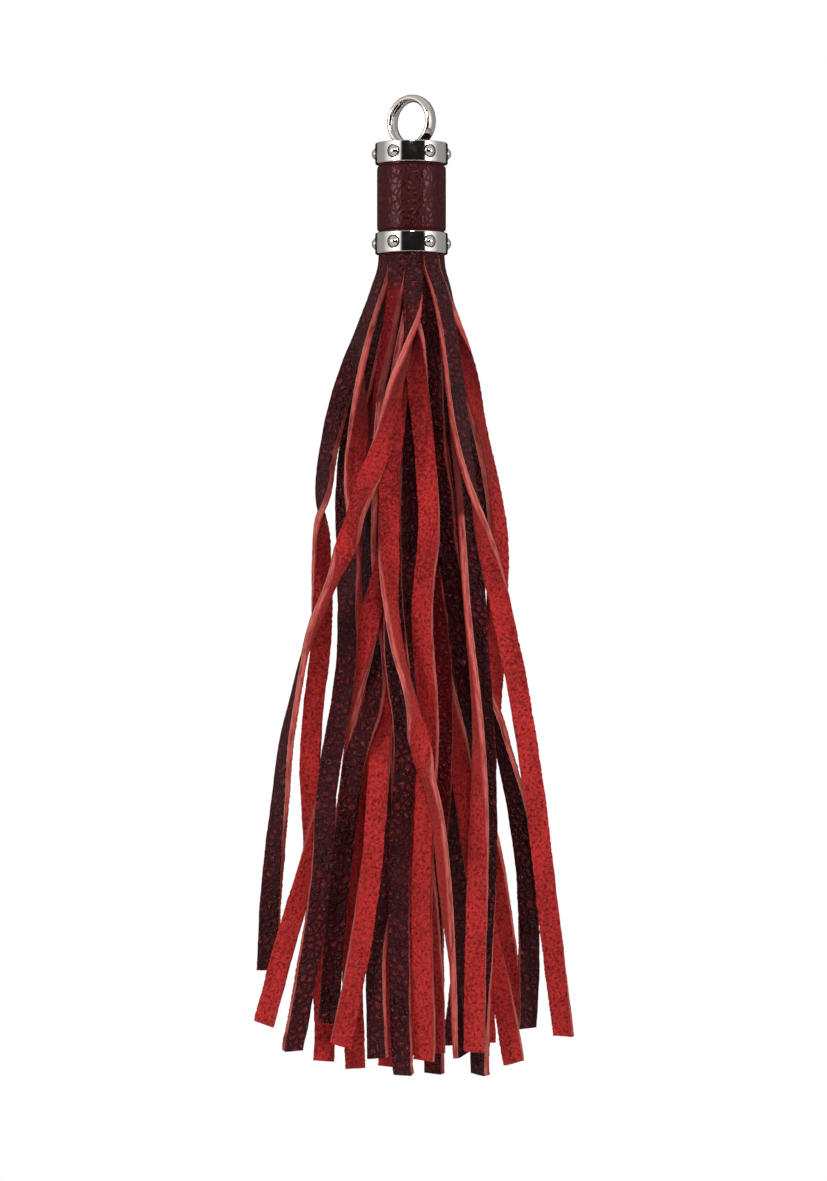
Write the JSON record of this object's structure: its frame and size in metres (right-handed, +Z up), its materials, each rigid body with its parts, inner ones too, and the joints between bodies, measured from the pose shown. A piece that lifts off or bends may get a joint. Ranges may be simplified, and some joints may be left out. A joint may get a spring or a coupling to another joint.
{
  "type": "leather tassel",
  "caption": "Long leather tassel of flat cut strands under a leather head with two riveted metal bands and a hanging ring.",
  "frame": {"origin": "inside top of the ring, where the hook or clasp that holds the tassel bears", "axes": "+Z up along the tassel towards the ring, +X across it, -Y the front"},
  "size_m": [0.0818, 0.0596, 0.2552],
  "materials": {
    "ring_metal": "polished",
    "band_metal": "polished",
    "rivet_metal": "polished",
    "head_leather": "pebbled grain with a soft sheen",
    "strand_leather": "dark grain on one face, red suede on the other, with raw cut edges"
  },
  "bodies": {
    "root": {"ring": "ring_metal", "head_wrap": "head_leather", "band_top": "band_metal", "band_bottom": "band_metal", "rivet_top_1": "rivet_metal", "rivet_top_2": "rivet_metal", "rivet_top_3": "rivet_metal", "rivet_top_4": "rivet_metal", "rivet_top_5": "rivet_metal", "rivet_top_6": "rivet_metal", "rivet_bottom_1": "rivet_metal", "rivet_bottom_2": "rivet_metal", "rivet_bottom_3": "rivet_metal", "rivet_bottom_4": "rivet_metal", "rivet_bottom_5": "rivet_metal", "rivet_bottom_6": "rivet_metal", "skirt": "strand_leather"}
  },
  "joints": []
}
